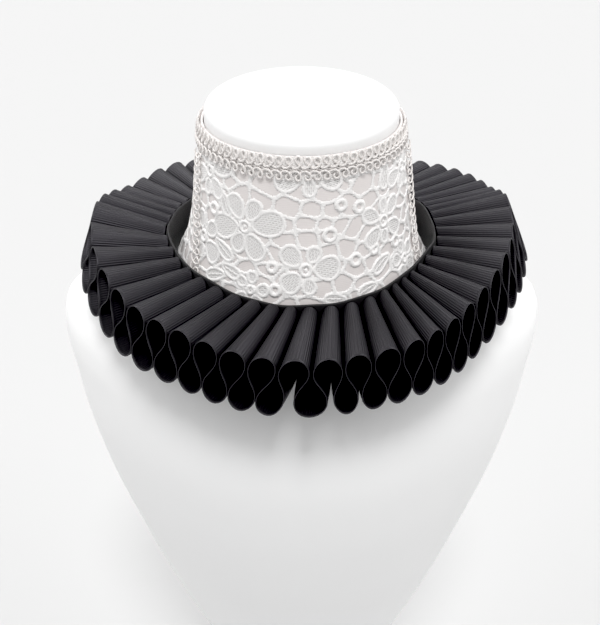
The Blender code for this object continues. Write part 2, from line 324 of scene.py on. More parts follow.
# One row for each level of the collar's outer face, from the hem up.
COLLAR_COLUMNS = ("height", "half_width", "front", "back")
COLLAR_SECTIONS = (
    (-0.0160, 0.0716, 0.0729, 0.0700),
    (-0.0120, 0.0697, 0.0723, 0.0685),
    (-0.0050, 0.0664, 0.0703, 0.0658),
    (0.0090, 0.0627, 0.0655, 0.0623),
    (0.0300, 0.0592, 0.0602, 0.0589),
    (0.0486, 0.0566, 0.0570, 0.0566),
    (0.0660, 0.0541, 0.0541, 0.0542),
)

# One row for each level of the bust, from the foot up. "ridge" is how far the
# widest line of that level lies behind the neck's axis.
BUST_COLUMNS = ("height", "half_width", "front", "back", "ridge")
BUST_SECTIONS = (
    (-0.4400, 0.0680, 0.0630, 0.0590, 0.0),
    (-0.4370, 0.0690, 0.0640, 0.0600, 0.0),
    (-0.4310, 0.0640, 0.0590, 0.0540, 0.0),
    (-0.4190, 0.0530, 0.0490, 0.0430, 0.0),
    (-0.4000, 0.0485, 0.0450, 0.0370, 0.0),
    (-0.3750, 0.0540, 0.0490, 0.0370, 0.0010),
    (-0.3450, 0.0655, 0.0570, 0.0400, 0.0020),
    (-0.3150, 0.0782, 0.0660, 0.0440, 0.0040),
    (-0.2500, 0.1027, 0.0820, 0.0570, 0.0080),
    (-0.2060, 0.1160, 0.0925, 0.0650, 0.0100),
    (-0.1500, 0.1322, 0.1020, 0.0720, 0.0140),
    (-0.1070, 0.1413, 0.1030, 0.0750, 0.0180),
    (-0.0850, 0.1445, 0.0990, 0.0750, 0.0200),
    (-0.0660, 0.1467, 0.0920, 0.0740, 0.0200),
    (-0.0540, 0.1447, 0.0850, 0.0725, 0.0200),
    (-0.0470, 0.1375, 0.0790, 0.0710, 0.0200),
    (-0.0420, 0.1280, 0.0750, 0.0700, 0.0190),
    (-0.0380, 0.1120, 0.0720, 0.0690, 0.0170),
    (-0.0355, 0.0960, 0.0700, 0.0680, 0.0140),
    (-0.0330, 0.0800, 0.0685, 0.0670, 0.0100),
    (-0.0290, 0.0710, 0.0665, 0.0655, 0.0060),
    (-0.0150, 0.0650, 0.0640, 0.0630, 0.0030),
    (0.0, 0.0600, 0.0610, 0.0595, 0.0),
    (0.0200, 0.0560, 0.0565, 0.0558, 0.0),
    (0.0450, 0.0533, 0.0533, 0.0533, 0.0),
    (0.0640, 0.0520, 0.0520, 0.0521, 0.0),
)

# One row for each lace flower: the azimuth of its ring from the collar's own
# front, its height, how far its petals reach, how far the first one is turned
# from +X, how many there are, and how wide they are for their length.
FLOWERS = (
    (-35.0, 0.0270, 0.0200, 8.0, 6, 0.86),
    (-4.0, 0.0085, 0.0162, -4.0, 5, 0.86),
    (-2.0, 0.0585, 0.0175, 54.0, 5, 0.70),
    (39.0, 0.0250, 0.0160, 92.0, 6, 0.80),
    (-62.0, 0.0480, 0.0170, 20.0, 6, 0.80),
    (-63.0, 0.0120, 0.0160, 48.0, 5, 0.84),
    (-29.5, -0.0040, 0.0105, 84.0, 5, 0.90),
    (60.0, 0.0470, 0.0150, 8.0, 6, 0.80),
    (52.0, -0.0010, 0.0115, 25.0, 5, 0.88),
    (-92.0, 0.0310, 0.0190, 33.0, 6, 0.76),
    (-121.0, 0.0050, 0.0155, 70.0, 5, 0.86),
    (-128.0, 0.0510, 0.0155, 5.0, 6, 0.80),
    (-156.0, 0.0270, 0.0190, 52.0, 5, 0.80),
    (88.0, 0.0100, 0.0170, 15.0, 6, 0.80),
    (99.0, 0.0480, 0.0160, 66.0, 5, 0.84),
    (125.0, 0.0240, 0.0195, 40.0, 6, 0.76),
    (151.0, 0.0010, 0.0150, 80.0, 5, 0.86),
    (160.0, 0.0480, 0.0170, 28.0, 5, 0.82),
)

# One row for each leaf: azimuth and height of its middle, its length, its width
# and the turn of its stem from +X.
LEAVES = (
    (-51.0, 0.0600, 0.0130, 0.0062, 35.0),
    (-48.0, 0.0350, 0.0125, 0.0060, 118.0),
    (-47.0, 0.0110, 0.0140, 0.0062, 152.0),
    (-50.0, -0.0030, 0.0130, 0.0060, 20.0),
    (-41.0, 0.0020, 0.0120, 0.0056, 168.0),
    (-74.0, 0.0300, 0.0130, 0.0060, 80.0),
    (17.0, 0.0570, 0.0120, 0.0060, -22.0),
    (42.0, 0.0480, 0.0130, 0.0060, 76.0),
    (33.0, 0.0600, 0.0110, 0.0056, 8.0),
    (35.0, 0.0040, 0.0130, 0.0058, 24.0),
    (66.0, 0.0140, 0.0135, 0.0062, 118.0),
    (25.0, -0.0060, 0.0120, 0.0052, 14.0),
    (9.0, -0.0070, 0.0110, 0.0050, -8.0),
    (-108.0, 0.0500, 0.0140, 0.0064, 60.0),
    (-104.0, 0.0080, 0.0140, 0.0062, 130.0),
    (-139.0, 0.0240, 0.0135, 0.0060, 100.0),
    (-143.0, -0.0010, 0.0130, 0.0060, 30.0),
    (-150.0, 0.0590, 0.0125, 0.0058, 160.0),
    (-172.0, 0.0020, 0.0125, 0.0058, 70.0),
    (-175.0, 0.0540, 0.0130, 0.0060, 110.0),
    (80.0, 0.0480, 0.0140, 0.0062, 95.0),
    (106.0, 0.0170, 0.0140, 0.0062, 45.0),
    (108.0, -0.0030, 0.0125, 0.0058, 150.0),
    (119.0, 0.0550, 0.0130, 0.0060, 20.0),
    (142.0, 0.0450, 0.0135, 0.0060, 125.0),
    (146.0, 0.0200, 0.0125, 0.0058, 65.0),
    (172.0, 0.0180, 0.0140, 0.0062, 100.0),
)

# One row for each eyelet: azimuth, height, and the radius of its ring.
EYELETS = (
    (7.8, 0.0255, 0.0030),
    (20.5, 0.0105, 0.0027),
    (31.5, 0.0130, 0.0024),
    (14.0, 0.0400, 0.0024),
    (24.0, 0.0370, 0.0026),
    (47.0, 0.0110, 0.0026),
    (-18.0, -0.0020, 0.0024),
    (-20.0, 0.0090, 0.0022),
    (-56.0, 0.0300, 0.0026),
    (-76.0, 0.0540, 0.0028),
    (-78.0, 0.0080, 0.0028),
    (-110.0, 0.0280, 0.0030),
    (-134.0, 0.0380, 0.0026),
    (-140.0, 0.0120, 0.0026),
    (-166.0, 0.0460, 0.0028),
    (-170.0, 0.0130, 0.0026),
    (74.0, 0.0280, 0.0028),
    (86.0, 0.0340, 0.0026),
    (112.0, 0.0380, 0.0028),
    (136.0, 0.0080, 0.0028),
    (138.0, 0.0580, 0.0024),
    (166.0, 0.0320, 0.0028),
)

# One row for each place where the net is left open: azimuth, height, width and height.
OPENINGS = (
    (-23.5, 0.0505, 0.0190, 0.0125),
    (-12.5, 0.0395, 0.0100, 0.0105),
    (7.0, 0.0470, 0.0110, 0.0095),
    (28.0, 0.0480, 0.0105, 0.0085),
    (-14.0, 0.0225, 0.0125, 0.0070),
    (20.0, 0.0260, 0.0100, 0.0080),
    (-98.0, 0.0560, 0.0170, 0.0110),
    (-144.0, 0.0420, 0.0150, 0.0110),
    (76.0, 0.0600, 0.0150, 0.0100),
    (128.0, 0.0440, 0.0160, 0.0100),
    (172.0, 0.0560, 0.0140, 0.0105),
)


def column(rows, columns, name):
    """One named column of a table, as an array."""
    return np.array([row[columns.index(name)] for row in rows], float)


def smooth(knots, values, where):
    """A smooth curve through (knots, values), read at each place in where."""
    slopes = np.gradient(values, knots)
    cell = np.clip(np.searchsorted(knots, where) - 1, 0, len(knots) - 2)
    width = knots[cell + 1] - knots[cell]
    part = (where - knots[cell]) / width
    back = 1 - part
    start = back * back * (1 + 2 * part) * values[cell]
    start = start + back * back * part * width * slopes[cell]
    end = part * part * (1 + 2 * back) * values[cell + 1]
    return start + end - part * part * back * width * slopes[cell + 1]


def around(name, flute, turn=0.0):
    """A column of FOLDS at any flute number, all the way round the ruff."""
    knots = column(FOLDS, FOLD_COLUMNS, "flute")
    values = column(FOLDS, FOLD_COLUMNS, name)
    knots = np.concatenate([knots - FLUTES, knots, knots + FLUTES])
    values = np.concatenate([values - turn, values, values + turn])
    return smooth(knots, values, flute)


def level(rows, columns, height):
    """Every column but the first of a table of levels, at these heights."""
    knots = column(rows, columns, columns[0])
    return [smooth(knots, column(rows, columns, name), height) for name in columns[1:]]


def on_ring(radius, azimuth, height, flattening=1.0):
    """Points at these azimuths in degrees, on a ring that may be flattened."""
    turn = np.radians(azimuth)
    x = radius * np.sin(turn)
    y = -flattening * radius * np.cos(turn)
    return np.stack([x, y, RUFF_LEVEL + height + 0 * x], axis=-1)


def grid(rows, columns):
    """Two arrays that pair every value of rows with every value of columns."""
    return np.meshgrid(np.asarray(rows, float), np.asarray(columns, float), indexing="ij")


def unit(vectors):
    """Vectors of the same directions, one long."""
    return vectors / np.linalg.norm(vectors, axis=-1, keepdims=True)


def normals_of(surface, across, along):
    """The outward normals of a surface of two parameters."""
    one_way = surface(across + NUDGE, along) - surface(across - NUDGE, along)
    other_way = surface(across, along + NUDGE) - surface(across, along - NUDGE)
    return unit(np.cross(one_way, other_way))


def smoothstep(low, high, value):
    """0 below low, 1 above high, and a smooth rise between them."""
    part = np.clip((value - low) / (high - low), 0, 1)
    return part * part * (3 - 2 * part)


# ---------------------------------------------------------------- materials


class Shader:
    """A material under construction: its nodes are added one at a time."""

    def __init__(self, name, color, roughness):
        self.material = bpy.data.materials.new(name)
        self.material.use_nodes = True
        self.nodes = self.material.node_tree.nodes
        self.links = self.material.node_tree.links
        self.main = self.nodes["Principled BSDF"]
        self.main.inputs["Base Color"].default_value = (*color, 1.0)
        self.main.inputs["Roughness"].default_value = roughness

    def put(self, socket, value):
        """Links a socket to another, or sets it to a value."""
        if isinstance(value, bpy.types.NodeSocket):
            self.links.new(value, socket)
        else:
            socket.default_value = value

    def attribute(self, name):
        """A number stored on the mesh."""
        node = self.nodes.new("ShaderNodeAttribute")
        node.attribute_name = name
        return node.outputs["Fac"]

    def math(self, operation, *values):
        """A sum, product or other function of numbers."""
        node = self.nodes.new("ShaderNodeMath")
        node.operation = operation
        for socket, value in zip(node.inputs, values):
            self.put(socket, value)
        return node.outputs[0]

    def wave(self, value, period):
        """A cosine of this period, from 0 to 1."""
        turn = self.math("MULTIPLY", value, 2 * np.pi / period)
        return self.math("MULTIPLY_ADD", self.math("COSINE", turn), 0.5, 0.5)

    def noise(self, scale, detail=2.0, stretch=(1.0, 1.0, 1.0)):
        """Noise in the object's own space, with about this many lumps a metre."""
        place = self.nodes.new("ShaderNodeTexCoord")
        mapping = self.nodes.new("ShaderNodeMapping")
        mapping.inputs["Scale"].default_value = stretch
        self.links.new(place.outputs["Object"], mapping.inputs["Vector"])
        node = self.nodes.new("ShaderNodeTexNoise")
        node.inputs["Scale"].default_value = scale
        node.inputs["Detail"].default_value = detail
        self.links.new(mapping.outputs["Vector"], node.inputs["Vector"])
        return node.outputs["Fac"]

    def blend(self, factor, first, second):
        """One colour turning into another as factor goes from 0 to 1."""
        node = self.nodes.new("ShaderNodeMix")
        node.data_type = "RGBA"
        self.put(node.inputs["Factor"], factor)
        colors = [s for s in node.inputs if s.type == "RGBA"]
        for socket, color in zip(colors, (first, second)):
            socket.default_value = (*color, 1.0)
        return [s for s in node.outputs if s.type == "RGBA"][0]

    def color(self, factor, first, second):
        """Gives the surface two colours, mixed by factor."""
        self.links.new(self.blend(factor, first, second), self.main.inputs["Base Color"])

    def bump(self, height, distance):
        """Raises the surface by height times distance."""
        node = self.nodes.new("ShaderNodeBump")
        node.inputs["Distance"].default_value = distance
        self.links.new(height, node.inputs["Height"])
        self.links.new(node.outputs["Normal"], self.main.inputs["Normal"])


def grosgrain_material():
    """Black ribbon with round ribs across it and a dense, smooth selvedge."""
    shader = Shader("black_grosgrain", (0.008, 0.008, 0.009), 0.5)
    shader.main.inputs["Specular IOR Level"].default_value = RIBBON_GLOSS
    shader.main.inputs["Specular Tint"].default_value = (0.93, 0.90, 1.0, 1.0)
    rib = shader.wave(shader.attribute("along"), RIB_PITCH)
    weave = shader.noise(FIBRE_GRAIN, 2.0)
    body = shader.math("SUBTRACT", 1.0, shader.attribute("selvedge"))
    ribbed = shader.math("MULTIPLY", rib, body)
    relief = shader.math("MULTIPLY_ADD", weave, WEAVE_RELIEF, ribbed)
    # The ribs' tops are painted lighter and the grooves between them darker, as painted shade in
    # the grooves; the smooth selvedge, which has no ribs, takes the darker colour.
    shader.color(ribbed, (0.005, 0.0047, 0.0053), (0.011, 0.0103, 0.0118))
    shader.bump(relief, RIBBON_RELIEF)
    return shader.material


def band_material():
    """Smooth black ribbon with a dull shine."""
    shader = Shader("black_satin_ribbon", (0.016, 0.0155, 0.0165), 0.5)
    shader.main.inputs["Specular IOR Level"].default_value = BAND_GLOSS
    shader.main.inputs["Sheen Weight"].default_value = 0.08
    weave = shader.noise(BAND_GRAIN, 2.0, (1.0, 1.0, 6.0))
    shader.color(weave, (0.012, 0.0115, 0.0125), (0.021, 0.020, 0.0215))
    shader.bump(weave, BAND_RELIEF)
    return shader.material


def satin_material():
    """Off-white satin behind the lace."""
    shader = Shader("off_white_satin", (0.72, 0.67, 0.66), 0.45)
    shader.main.inputs["Sheen Weight"].default_value = 0.1
    thread = shader.wave(shader.attribute("down"), SATIN_THREAD)
    shader.color(thread, (0.845, 0.797, 0.782), (0.862, 0.817, 0.802))
    shader.bump(thread, SATIN_RELIEF)
    return shader.material


def lace_material():
    """White cotton thread, knotted in the cords and loosely darned inside the petals."""
    shader = Shader("white_lace", (0.90, 0.885, 0.875), 0.85)
    shader.main.inputs["Sheen Weight"].default_value = 0.1
    across = shader.attribute("across")
    lengthwise = shader.attribute("lengthwise")
    row = shader.math("FLOOR", shader.math("DIVIDE", across, DARN_PITCH))
    shifted = shader.math("MULTIPLY_ADD", row, DARN_SHIFT * DARN_LENGTH, lengthwise)
    stitch = shader.wave(shifted, DARN_LENGTH)
    gap = shader.math("MULTIPLY", shader.wave(across, DARN_PITCH), stitch)
    sharp = shader.math("MULTIPLY_ADD", gap, *DARN_CONTRAST)
    sharp.node.use_clamp = True
    open_darn = shader.math("MULTIPLY", sharp, shader.attribute("fill"))
    fibre = shader.noise(FIBRE_GRAIN, 3.0)
    # Where the darning is open, the thread is painted a darker pinkish grey: the satin's colour
    # seen between the stitches, darkened further by painted shade.
    shader.color(open_darn, (0.97, 0.955, 0.945), (0.60, 0.565, 0.55))
    solid = shader.math("SUBTRACT", 1.0, open_darn)
    shader.bump(shader.math("MULTIPLY_ADD", fibre, FIBRE_RELIEF, solid), LACE_RELIEF)
    return shader.material


def gimp_material():
    """Cream cord of a few twisted threads."""
    shader = Shader("cream_gimp", (0.84, 0.80, 0.77), 0.5)
    shader.main.inputs["Sheen Weight"].default_value = 0.15
    around_cord = shader.attribute("round")
    twist = shader.math("MULTIPLY_ADD", around_cord, GIMP_STRANDS, shader.attribute("twist"))
    strand = shader.wave(twist, 1.0)
    # Each strand is painted lighter on its crown and darker where it meets the next, as painted
    # shade in the grooves between the twisted strands.
    shader.color(strand, (0.80, 0.755, 0.73), (0.92, 0.895, 0.88))
    shader.bump(strand, GIMP_RELIEF)
    return shader.material


def bust_material():
    """White moulding with a smooth satin finish."""
    shader = Shader("white_stand", (0.86, 0.86, 0.86), 0.42)
    grain = shader.noise(BUST_GRAIN, 4.0)
    blotch = shader.noise(BUST_BLOTCHES, 2.0)
    shader.color(blotch, (0.89, 0.89, 0.892), (0.92, 0.92, 0.918))
    shader.bump(grain, BUST_RELIEF)
    return shader.material


def floor_material():
    """Plain pale studio paper."""
    shader = Shader("pale_floor", (0.575, 0.575, 0.575), 0.9)
    shader.main.inputs["Specular IOR Level"].default_value = FLOOR_GLOSS
    return shader.material


# ------------------------------------------------------------------ meshes


def add_mesh(name, vertices, faces, finish, values=None):
    """An object of this name that rides on the frame, with numbers stored on its points."""
    mesh = bpy.data.meshes.new(name)
    mesh.from_pydata(vertices.reshape(-1, 3).tolist(), [], faces)
    for key, value in (values or {}).items():
        layer = mesh.attributes.new(key, "FLOAT", "POINT")
        layer.data.foreach_set("value", np.asarray(value, np.float32).ravel())
    mesh.materials.append(finish)
    mesh.shade_smooth()
    obj = bpy.data.objects.new(name, mesh)
    bpy.context.scene.collection.objects.link(obj)
    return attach(obj, "root")


def quads(rows, columns, start=0, wrap=False):
    """The faces of a grid of points numbered row by row from start."""
    index = start + np.arange(rows * columns).reshape(rows, columns)
    after = np.roll(index, -1, axis=1)
    if not wrap:
        index = index[:, :-1]
        after = after[:, :-1]
    corners = [index[:-1], index[1:], after[1:], after[:-1]]
    return np.stack(corners, axis=-1).reshape(-1, 4)


def add_shell(name, outer, inner, finish, values):
    """A closed shell between two grids of points, with the same values on both sides."""
    rows, columns = outer.shape[:2]
    front = quads(rows, columns)
    back = quads(rows, columns, rows * columns)[:, ::-1]
    index = np.arange(rows * columns).reshape(rows, columns)
    edge = np.concatenate([index[0, :], index[1:, -1], index[-1, -2::-1], index[-2:0:-1, 0]])
    after = np.roll(edge, -1)
    side = np.stack([edge, after, after + rows * columns, edge + rows * columns], axis=-1)
    faces = np.concatenate([front, back, side]).tolist()
    vertices = np.concatenate([outer.reshape(-1, 3), inner.reshape(-1, 3)])
    both = {key: np.concatenate([value.ravel()] * 2) for key, value in values.items()}
    return add_mesh(name, vertices, faces, finish, both)


# ------------------------------------------------------------------- ruff


def wedge(flute, reach):
    """How far the lower loops draw apart under the flutes that stay open."""
    opened = 0.0
    for at, width, start in WEDGES:
        near = 1 - smoothstep(*WEDGE_EDGE, np.abs(flute - at))
        opened = opened + width * near * np.clip((reach - start) / (1 - start), 0, 1)
    return opened


def loop_swell(flute, lower, reach):
    """How far a loop swells past its own half pitch, as a part of the pitch."""
    degrees = around("azimuth", flute + 0.5, 360.0) - around("azimuth", flute - 0.5, 360.0)
    radius = ROOT_TOP_RADIUS + (RIM_TOP_RADIUS - ROOT_TOP_RADIUS) * reach
    wall = RIBBON_WALL + (SELVEDGE_WALL - RIBBON_WALL) * smoothstep(*SELVEDGE_REACH, reach)
    tightest = MEETING_SWELL - (wall - LOOP_PRESS) / (2 * radius * np.radians(degrees))
    upper_swell = np.minimum(ROOT_SWELL + (RIM_SWELL - ROOT_SWELL) * reach, tightest)
    lower_swell = tightest - wedge(flute, reach)
    return upper_swell + (lower_swell - upper_swell) * smoothstep(*LOOP_BLEND, lower)


def frill_point(flute, reach):
    """The ruff's ribbon: flute counts along it, reach runs from root 0 to rim 1."""
    phase = 2 * np.pi * flute
    eight = np.cos(phase) * (1 + LOOP_ROUNDING) - LOOP_ROUNDING * np.cos(3 * phase)
    lower = (1 - eight) / 2
    place = flute + loop_swell(flute, lower, reach) * np.sin(2 * phase)
    azimuth = around("azimuth", place, 360.0)
    saddle = np.cos(np.radians(2 * azimuth))
    sway = around("sway", place) * lower
    flare = RIM_BOTTOM_RADIUS - RIM_TOP_RADIUS + around("flare", place)
    rim_radius = RIM_TOP_RADIUS + flare * lower
    rim_height = around("rise", place) - RIM_HEIGHT * lower
    rim_height = rim_height - saddle * (RIM_TOP_SADDLE * (1 - lower) + RIM_BOTTOM_SADDLE * lower)
    rim = on_ring(rim_radius, azimuth + sway, rim_height)
    root_radius = ROOT_TOP_RADIUS + (ROOT_BOTTOM_RADIUS - ROOT_TOP_RADIUS) * lower
    root_height = ROOT_LEVEL - ROOT_SADDLE * saddle - ROOT_HEIGHT * lower
    root_azimuth = azimuth + around("skew", place) + ROOT_SWAY * sway
    root_radius = root_radius + dent(root_azimuth) * (1 - BEND_FALL * lower)
    root = on_ring(root_radius, root_azimuth, root_height, BAND_FLATTENING)
    return root + (rim - root) * reach[..., None]


def ribbon_rows():
    """Where the rows of points lie across the ribbon, closer together at its edges."""
    edge = SELVEDGE_WIDTH / RIBBON_WIDTH
    ends = np.array(SELVEDGE_ROWS) * edge
    return np.concatenate([ends, np.linspace(*CLOTH_ENDS, CLOTH_ROWS), 1 - ends[::-1]])


def add_frill(finish):
    """The pleated ribbon: a thin shell with a firm selvedge along each edge."""
    # Both ends stop a step short of the centre back, so that the ruff stays open there.
    steps = np.linspace(-0.5, FLUTES - 0.5, FLUTES * CLOTH_STEPS + 1)[1:-1]
    flute, reach = grid(steps, ribbon_rows())
    middle = frill_point(steps, np.full(len(steps), 0.5))
    along = np.concatenate([[0.0], np.cumsum(np.linalg.norm(np.diff(middle, axis=0), axis=1))])
    from_edge = np.minimum(reach, 1 - reach) * RIBBON_WIDTH
    selvedge = 1 - smoothstep(*SELVEDGE_BLEND, from_edge / SELVEDGE_WIDTH)
    rounding = np.sqrt(np.clip(from_edge / (SELVEDGE_WALL / 2), EDGE_ROUNDING, 1))
    wall = (RIBBON_WALL + (SELVEDGE_WALL - RIBBON_WALL) * selvedge) * rounding
    place = frill_point(flute, reach)
    normal = normals_of(frill_point, flute, reach)
    values = {
        "along": np.repeat(along[:, None], flute.shape[1], axis=1),
        "selvedge": selvedge,
    }
    offset = normal * wall[..., None] / 2
    frill = add_shell("ruff_frill_cloth", place + offset, place - offset, finish, values)
    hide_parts("ruff_frill")


def waves(rows, azimuth):
    """The sum of a few waves round the ruff: height, times round and start of each."""
    return sum(tall * np.sin(np.radians(times * azimuth + start)) for tall, times, start in rows)


def dent(azimuth):
    """How far the band's top edge bulges or is pushed in by the flutes behind it."""
    depth = waves(BAND_BENDS, azimuth)
    for place, half_width, crease in BAND_CREASES:
        depth = depth + crease * np.exp(-(((azimuth - place) / half_width) ** 2))
    return depth


def band_point(azimuth, down, out):
    """The neck band at this azimuth and share of its height, this far out of its middle."""
    radius = BAND_TOP_RADIUS - BAND_WALL / 2 + dent(azimuth) * (1 - BEND_FALL * down)
    radius = radius + (BAND_BOTTOM_RADIUS - BAND_TOP_RADIUS) * down + out
    saddle = np.cos(np.radians(2 * azimuth))
    height = BAND_LEVEL - BAND_SADDLE * saddle - BAND_HEIGHT * down
    height = height + waves(BAND_RIPPLES, azimuth) * (1 - down)
    return on_ring(radius, azimuth, height, BAND_FLATTENING)


def add_band(finish):
    """The band: a smooth strip folded over at the top and bottom."""
    half = BAND_WALL / 2
    fold = np.linspace(0, np.pi, BAND_FOLD_STEPS + 1)
    rows = np.linspace(0, 1, BAND_ROWS + 1)
    inset = half / BAND_HEIGHT
    flat = inset + (1 - 2 * inset) * rows
    down = np.concatenate([flat[::-1], inset * (1 - np.sin(fold[1:-1])), flat])
    down = np.concatenate([down, 1 - inset * (1 - np.sin(fold[1:-1]))])
    out = np.concatenate([-half + 0 * flat, -half * np.cos(fold[1:-1]), half + 0 * flat])
    out = np.concatenate([out, half * np.cos(fold[1:-1])])
    turns = np.linspace(BAND_OPENING / 2 - 180, 180 - BAND_OPENING / 2, BAND_STEPS + 1)
    azimuth, which = grid(turns, np.arange(len(down)))
    which = which.astype(int)
    place = band_point(azimuth, down[which], out[which])
    rows_count, columns = place.shape[:2]
    faces = quads(rows_count, columns, wrap=True).tolist()
    faces.append(list(range(columns)))
    faces.append(list(range(rows_count * columns - 1, (rows_count - 1) * columns - 1, -1)))
    band = add_mesh("neck_band_cloth", place, faces, finish)
    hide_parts("ruff_band")


# ------------------------------------------------------------------ collar


def pucker(azimuth, height):
    """How far the collar swells outward between its stitches, most at the hem."""
    fall = np.clip((PUCKER_TOP - height) / (PUCKER_TOP - COLLAR_HEM), 0, 1)
    return PUCKER_DEPTH * fall * (0.5 + waves(PUCKERS, azimuth))


def collar_point(azimuth, height):
    """The collar's outer face at this azimuth and height."""
    half_width, front, back = level(COLLAR_SECTIONS, COLLAR_COLUMNS, height)
    turn = np.radians(azimuth)
    swell = pucker(azimuth, height)
    x = (half_width + swell) * np.sin(turn)
    y = -(np.where(np.cos(turn) > 0, front, back) + swell) * np.cos(turn)
    return np.stack([x, y, RUFF_LEVEL + height + 0 * x], axis=-1)


def collar_width(height):
    """Half the collar's width at one height."""
    return level(COLLAR_SECTIONS, COLLAR_COLUMNS, np.array([height]))[0][0]


def off_collar(azimuth, height, lift):
    """Points this far off the collar's outer face."""
    # The normal may come out pointing inward, so it is turned away from the neck's axis.
    normal = normals_of(collar_point, azimuth, height)
    outward = np.sign(np.sum(normal[..., :2] * collar_point(azimuth, height)[..., :2], axis=-1))
    return collar_point(azimuth, height) + normal * (outward * lift)[..., None]


def seam_azimuth(side, height):
    """Where a side seam lies: both seams swing forward towards the hem."""
    fall = np.clip((COLLAR_TOP - height) / (COLLAR_TOP - COLLAR_HEM), 0, None)
    swing = (SEAM_TOP_AZIMUTH - SEAM_HEM_AZIMUTH) * fall**SEAM_CURVE
    return COLLAR_TURN + side * (SEAM_TOP_AZIMUTH - swing)


def centre_back(side, height):
    """Where the back edges meet, reached by way of this side."""
    return COLLAR_TURN + side * 180.0 + 0 * height


def panel_grid(start, end, step):
    """Azimuths and heights over a panel, with cells about this wide."""
    middle = (COLLAR_TOP + COLLAR_HEM) / 2
    half_width = collar_width(middle)
    wide = np.radians(end(middle) - start(middle)) * half_width
    columns = int(abs(wide) / step)
    rows = int((COLLAR_TOP - COLLAR_HEM) / step)
    levels = np.linspace(COLLAR_HEM, COLLAR_TOP, rows + 1)
    height, part = grid(levels, np.linspace(0, 1, columns + 1))
    trim = np.degrees(SEAM_GAP / 2 / half_width)
    first = start(height) + trim
    last = end(height) - trim
    return first + (last - first) * part, height


def add_satin(name, start, end, finish):
    """The satin ground of one panel."""
    azimuth, height = panel_grid(start, end, SATIN_STEP)
    outer = off_collar(azimuth, height, 0 * height - SATIN_SINK)
    start_turning, end_turning = (COLLAR_TOP - below for below in TURNING_ENDS)
    turning = SATIN_TURNING * smoothstep(start_turning, end_turning, height)
    inner = off_collar(azimuth, height, -SATIN_SINK - SATIN_WALL - turning)
    return add_shell(name, outer, inner, finish, {"down": height})


# -------------------------------------------------------------------- lace


def net_seeds(mean):
    """Middles of the net's holes, in metres round the collar and up it."""
    rng = np.random.default_rng(NET_SEED)
    whole = 2 * np.pi * mean
    round_it = int(whole / NET_WIDE)
    up = int((COLLAR_TOP - COLLAR_HEM) / NET_TALL) + 3
    row, col = grid(np.arange(up), np.arange(round_it))
    shift = rng.uniform(-NET_JITTER, NET_JITTER, (2, *row.shape))
    x = ((col + 0.5 * (row % 2) + shift[0]) * whole / round_it).ravel() % whole - whole / 2
    y = (COLLAR_HEM + (row - 1 + shift[1]) * NET_TALL).ravel()
    kept = np.ones(len(x), bool)
    for azimuth, height, wide, tall in OPENINGS:
        away = np.hypot((x - np.radians(azimuth) * mean) / wide, (y - height) / tall)
        kept &= away > OPENING_SHARE
    middles = [(np.radians(row[0]) * mean, row[1]) for row in OPENINGS]
    return np.concatenate([np.stack([x, y], axis=-1)[kept], middles])


def net_distance(x, y, mean):
    """How far each point is from the nearest bar of the net, with the corners rounded."""
    stretch = np.array([1.0, NET_STRETCH])
    seeds = net_seeds(mean)
    whole = 2 * np.pi * mean
    seeds = np.concatenate([seeds + (turn * whole, 0) for turn in (-1, 0, 1)])
    margin = 2 * NET_WIDE
    seeds = seeds[(seeds[:, 0] > x.min() - margin) & (seeds[:, 0] < x.max() + margin)] * stretch
    place = np.stack([x, y], axis=-1).reshape(-1, 2) * stretch
    found = np.empty(len(place))
    for start in range(0, len(place), NET_BATCH):
        part = place[start : start + NET_BATCH]
        square = ((part[:, None, :] - seeds[None]) ** 2).sum(-1)
        nearest = np.argpartition(square, NET_NEIGHBOURS, axis=1)[:, : NET_NEIGHBOURS + 1]
        close = np.take_along_axis(square, nearest, 1)
        order = np.argsort(close, axis=1)
        nearest = np.take_along_axis(nearest, order, 1)
        close = np.take_along_axis(close, order, 1)
        apart = seeds[nearest[:, 1:]] - seeds[nearest[:, :1]]
        gap = np.linalg.norm(apart, axis=-1)
        true_gap = np.linalg.norm(apart * stretch, axis=-1)
        edge = (close[:, 1:] - close[:, :1]) / (2 * true_gap)
        least = edge.min(axis=1, keepdims=True)
        spread = np.exp((least - edge) / NET_ROUNDING).sum(axis=1)
        found[start : start + NET_BATCH] = least[:, 0] - NET_ROUNDING * np.log(spread)
    return found.reshape(x.shape)


def knots(x, y):
    """Small lumps of thread: 1 in the middle of a lump and 0 between lumps."""
    col = np.floor(x / KNOT_PITCH)
    row = np.floor(y / KNOT_PITCH)
    nearest = np.full(x.shape, 9.0)
    for right in (-1, 0, 1):
        for up in (-1, 0, 1):
            column_of = col + right
            row_of = row + up
            shift_x = np.modf(np.sin(column_of * 127.1 + row_of * 311.7) * 437.5)[0]
            shift_y = np.modf(np.sin(column_of * 269.5 + row_of * 183.3) * 437.5)[0]
            away_x = x / KNOT_PITCH - column_of - 0.5 - KNOT_SCATTER * shift_x
            away_y = y / KNOT_PITCH - row_of - 0.5 - KNOT_SCATTER * shift_y
            nearest = np.minimum(nearest, np.hypot(away_x, away_y))
    return np.clip(1 - nearest**2 / KNOT_SPREAD, 0, 1)


def round_top(distance, half):
    """The height of a round cord at this distance from its middle, from 0 to 1."""
    return np.sqrt(np.clip(1 - (distance / half) ** 2, 0, None))


